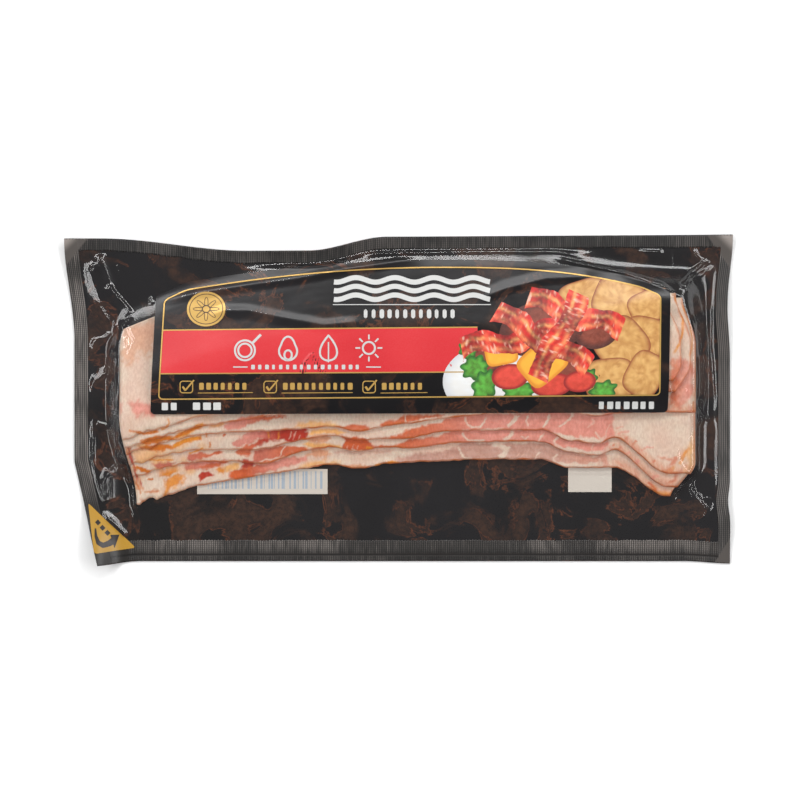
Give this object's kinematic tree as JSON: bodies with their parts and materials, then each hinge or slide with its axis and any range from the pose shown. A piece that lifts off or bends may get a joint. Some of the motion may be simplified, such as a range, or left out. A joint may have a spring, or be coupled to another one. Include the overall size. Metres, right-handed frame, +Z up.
{
  "type": "bacon pack",
  "caption": "Flat vacuum pack of shingled bacon rashers, sealed between a dark marbled back film and a clear front film with a printed label panel",
  "frame": {"origin": "centre of the pack's length and depth, on the surface that it lies on", "axes": "+X along the pack's length, +Y towards the top of the printed face, +Z up out of the printed face"},
  "size_m": [0.2904, 0.1438, 0.0117],
  "materials": {
    "pack": "gloss clear film over a dark marbled film",
    "back_film": "dark marbled print on satin film",
    "heat_seal": "ribbed heat seal in dark film",
    "bacon": "moist cured pork, red meat streaked with cream fat",
    "front_film": "clear gloss film",
    "print": "gloss flexographic print on film"
  },
  "bodies": {
    "root": {"sealed_pack": "pack"}
  },
  "joints": []
}
